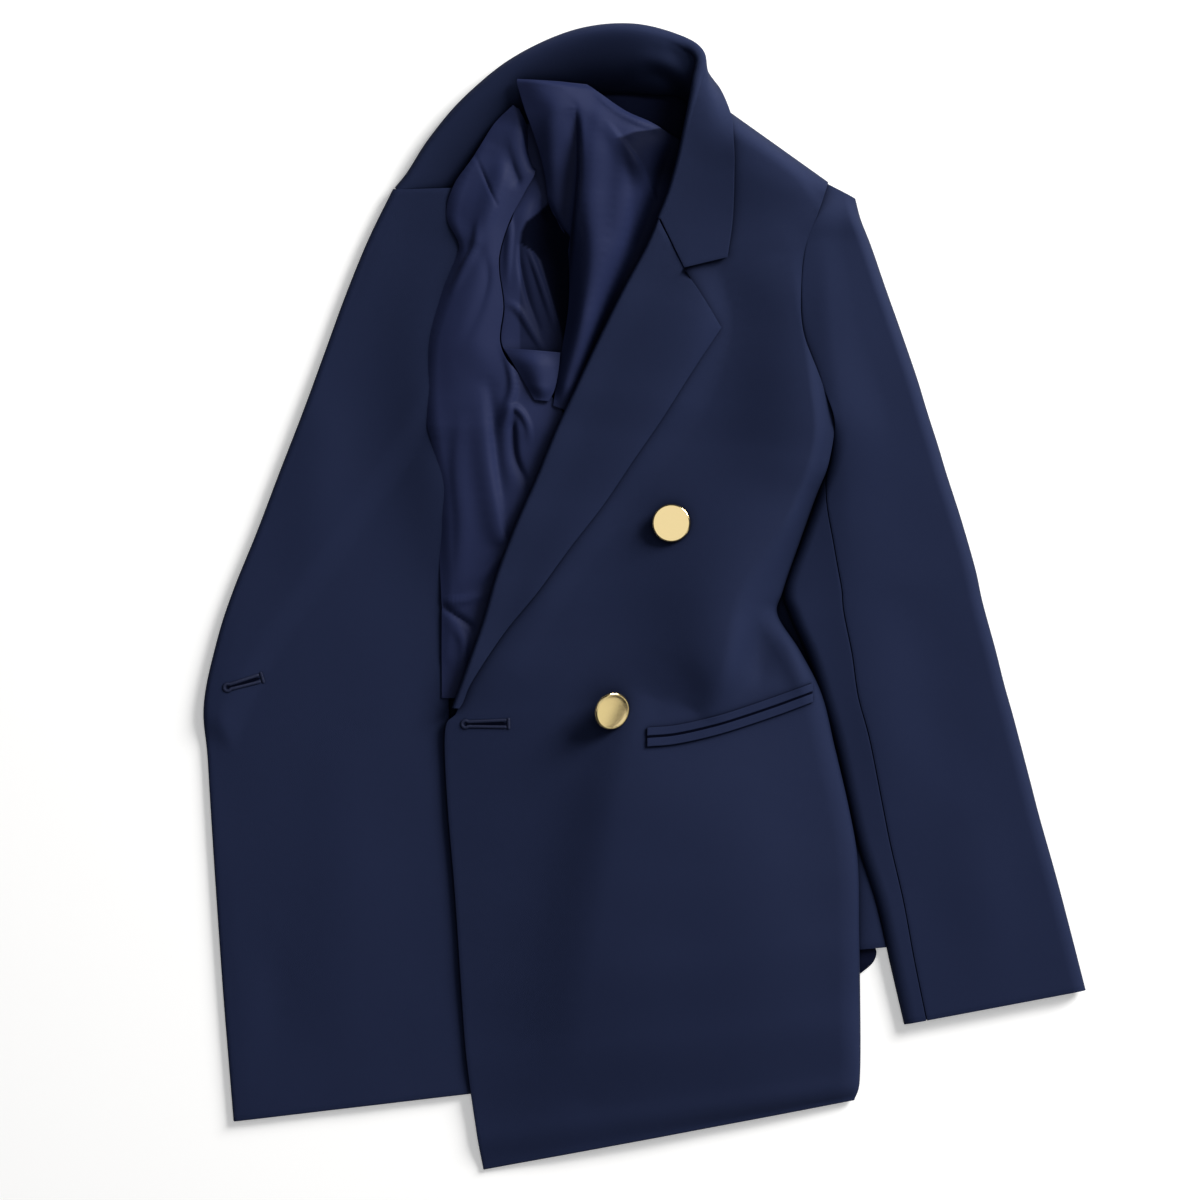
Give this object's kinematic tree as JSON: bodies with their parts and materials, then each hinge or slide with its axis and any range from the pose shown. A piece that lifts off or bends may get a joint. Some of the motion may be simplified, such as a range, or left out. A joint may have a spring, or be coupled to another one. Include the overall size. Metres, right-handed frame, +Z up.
{
  "type": "double breasted blazer laid flat",
  "caption": "Navy double breasted blazer laid flat on its back, one front folded open to its lining, with notched lapel, jetted pocket and round metal buttons.",
  "frame": {"origin": "middle of the laid-out garment, on the floor", "axes": "+Z up off the floor, +Y from the hem towards the collar, +X towards the wearer's left sleeve"},
  "size_m": [0.6161, 0.8, 0.0329],
  "materials": {
    "navy_suiting": "matt fine twill suiting",
    "navy_lining": "soft satin lining",
    "gold_metal": "polished pale gold"
  },
  "bodies": {
    "root": {"left_front": "navy_suiting", "left_lapel": "navy_suiting", "right_front": "navy_suiting", "right_lapel": "navy_suiting", "right_facing": "navy_suiting", "collar": "navy_suiting", "back": "navy_suiting", "hidden_layers": "navy_suiting", "left_top_sleeve": "navy_suiting", "left_under_sleeve": "navy_suiting", "right_sleeve": "navy_suiting", "pocket_welt_upper": "navy_suiting", "pocket_welt_lower": "navy_suiting", "front_lining": "navy_lining", "back_lining": "navy_lining", "neck_lining": "navy_lining", "sleeve_lining": "navy_lining", "sleeve_lining_fold": "navy_lining", "cuff_lining": "navy_lining", "button_upper": "gold_metal", "button_lower": "gold_metal"}
  },
  "joints": []
}
